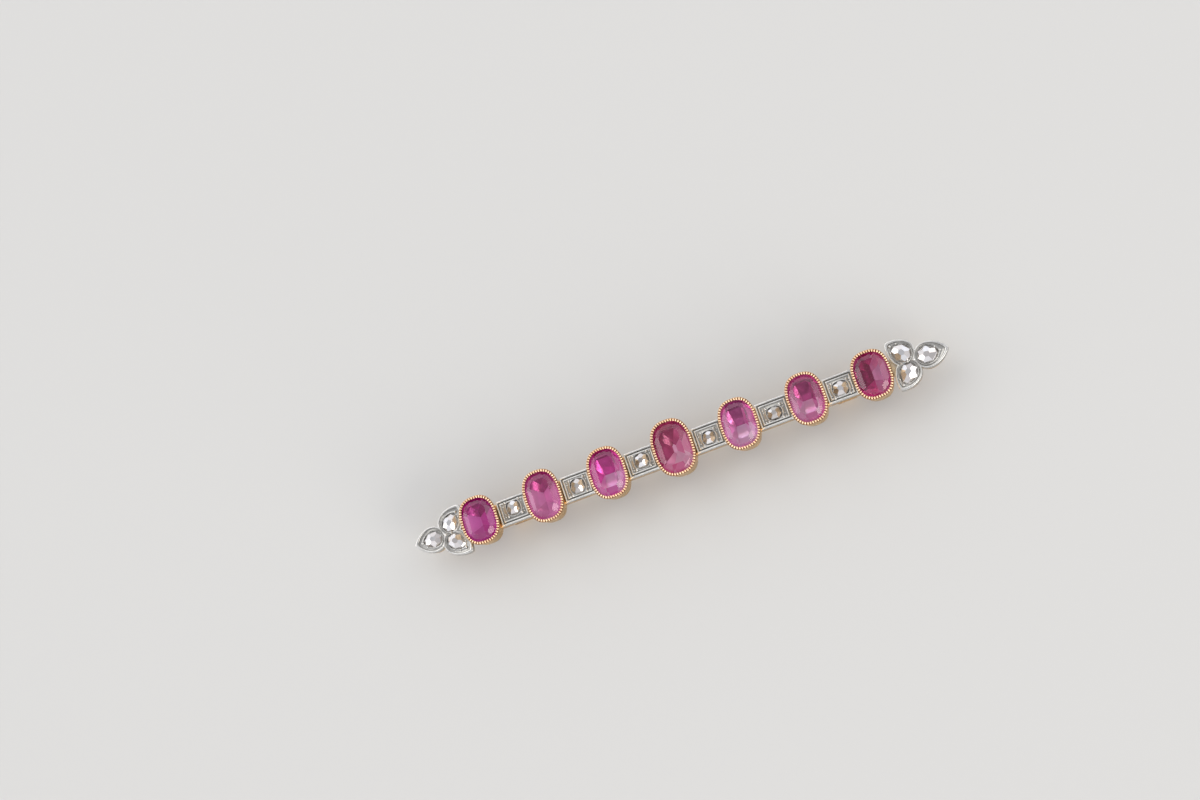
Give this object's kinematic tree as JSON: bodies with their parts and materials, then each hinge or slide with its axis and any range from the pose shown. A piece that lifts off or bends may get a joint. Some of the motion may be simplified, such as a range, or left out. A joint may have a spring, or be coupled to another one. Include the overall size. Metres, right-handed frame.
{
  "type": "bar brooch",
  "caption": "Straight bar brooch: cushion-cut pink-red stones in tall beaded gold collets, small diamonds in white metal plates between them, and a leaf trefoil at either end.",
  "frame": {"origin": "the middle of the brooch's length and width, on the surface that its hinge and catch stand on", "axes": "+X along the bar towards the catch, +Y across the bar, +Z out of the jewelled face"},
  "size_m": [0.062, 0.0064, 0.0058],
  "materials": {
    "gold": "polished warm yellow gold, lightly worn",
    "white_metal": "polished white metal with fine wear, darker in the grooves",
    "ruby": "cushion cut, polished facets, pink-red",
    "diamond": "rose cut, polished facets, near colourless"
  },
  "bodies": {
    "root": {"gold_frame": "gold", "pin_stem": "gold", "ruby_1": "ruby", "ruby_2": "ruby", "ruby_3": "ruby", "ruby_4": "ruby", "ruby_5": "ruby", "ruby_6": "ruby", "ruby_7": "ruby", "bar_plate_1": "white_metal", "bar_plate_2": "white_metal", "bar_plate_3": "white_metal", "bar_plate_4": "white_metal", "bar_plate_5": "white_metal", "bar_plate_6": "white_metal", "plate_diamond_1": "diamond", "plate_diamond_2": "diamond", "plate_diamond_3": "diamond", "plate_diamond_4": "diamond", "plate_diamond_5": "diamond", "plate_diamond_6": "diamond", "trefoil_left": "white_metal", "trefoil_right": "white_metal", "left_leaf_diamond_1": "diamond", "left_leaf_diamond_2": "diamond", "left_leaf_diamond_3": "diamond", "right_leaf_diamond_1": "diamond", "right_leaf_diamond_2": "diamond", "right_leaf_diamond_3": "diamond"}
  },
  "joints": []
}
